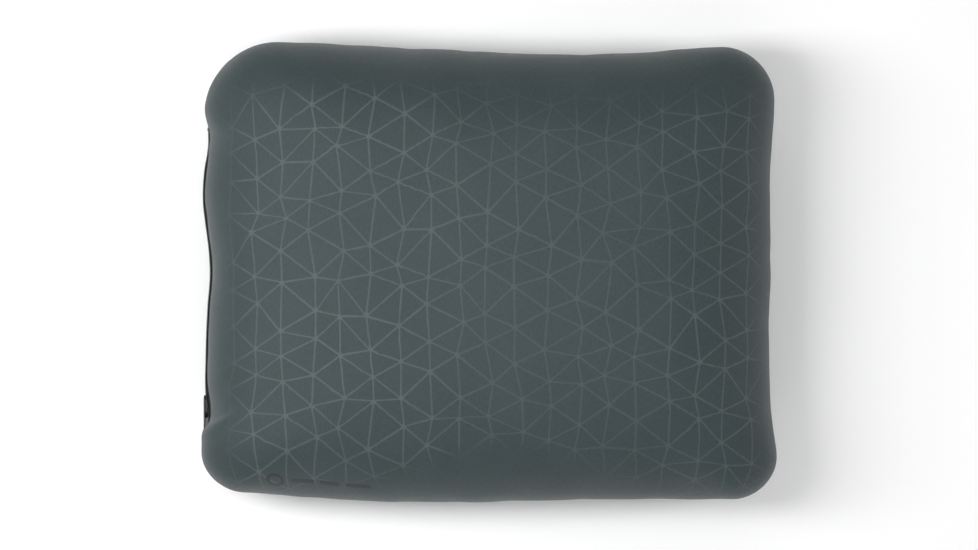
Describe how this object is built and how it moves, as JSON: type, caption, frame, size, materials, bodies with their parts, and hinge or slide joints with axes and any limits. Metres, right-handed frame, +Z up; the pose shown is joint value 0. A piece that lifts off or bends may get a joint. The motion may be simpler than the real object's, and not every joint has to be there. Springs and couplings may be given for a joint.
{
  "type": "camp pillow",
  "caption": "Self-inflating camp pillow: cored foam in an airtight bladder with a two-lid air valve, inside a stretch-knit cover that zips open at one end.",
  "frame": {"origin": "on the floor under the pillow's middle, the pillow lying flat on its underside", "axes": "+X along the pillow's length away from the zip end, +Y along its depth towards the edge with the valve, +Z up"},
  "size_m": [0.42, 0.336, 0.118],
  "materials": {
    "cover_knit": "matte",
    "binding_tape": "matte",
    "label_satin": "satin",
    "zip_tape": "matte",
    "zip_coil": "satin",
    "zip_metal": "satin",
    "bladder_film": "satin",
    "core_foam": "matte",
    "valve_shell": "satin",
    "valve_inner": "satin",
    "valve_silicone": "satin",
    "spring_wire": "satin"
  },
  "bodies": {
    "pillow": {"cover_top": "cover_knit", "cover_bottom": "cover_knit", "valve_port_binding": "binding_tape", "care_label": "label_satin", "bladder_top": "bladder_film", "bladder_bottom": "bladder_film", "foam_core": "core_foam", "zip_tape_upper": "zip_tape", "zip_tape_lower": "zip_tape", "zip_coil_upper": "zip_coil", "zip_coil_lower": "zip_coil", "zip_top_stops": "zip_metal", "zip_bottom_stop": "zip_metal", "valve_base": "valve_shell", "lid_leash": "valve_shell"},
    "slider": {"zip_slider": "zip_metal"},
    "pull": {"zip_pull_tab": "zip_metal"},
    "inner_lid": {"valve_inner_lid": "valve_inner", "inner_lid_gasket": "valve_silicone", "outer_lid_strap": "valve_shell", "valve_spring": "spring_wire"},
    "outer_lid": {"valve_outer_lid": "valve_shell"},
    "button": {"valve_stem": "valve_shell", "valve_diaphragm": "valve_silicone"}
  },
  "joints": [
    {"name": "zip_slide", "type": "slide", "parent": "pillow", "child": "slider", "axis": [0, 1, 0], "range_m": [0, 0.21], "deforming": ["zip_tape_upper", "zip_tape_lower", "zip_coil_upper", "zip_coil_lower"]},
    {"name": "pull_hinge", "type": "hinge", "parent": "slider", "child": "pull", "pos_m": [-0.20821, -0.112, 0.03865], "axis": [-0.3502, 0, 0.9367], "range_deg": [0, 175]},
    {"name": "inner_lid_hinge", "type": "hinge", "parent": "pillow", "child": "inner_lid", "pos_m": [-0.118, 0.16152, 0.03414], "axis": [1, 0, 0], "range_deg": [0, 110], "deforming": ["lid_leash"]},
    {"name": "outer_lid_hinge", "type": "hinge", "parent": "inner_lid", "child": "outer_lid", "pos_m": [-0.1328, 0.15318, 0.02078], "axis": [0, 0.6428, 0.766], "range_deg": [0, 115], "deforming": ["outer_lid_strap"]},
    {"name": "button_press", "type": "slide", "parent": "inner_lid", "child": "button", "axis": [0, -0.766, 0.6428], "range_m": [0, 0.0018], "stiffness_N_per_m": 60, "springref_m": -0.0005, "deforming": ["valve_spring"]}
  ]
}
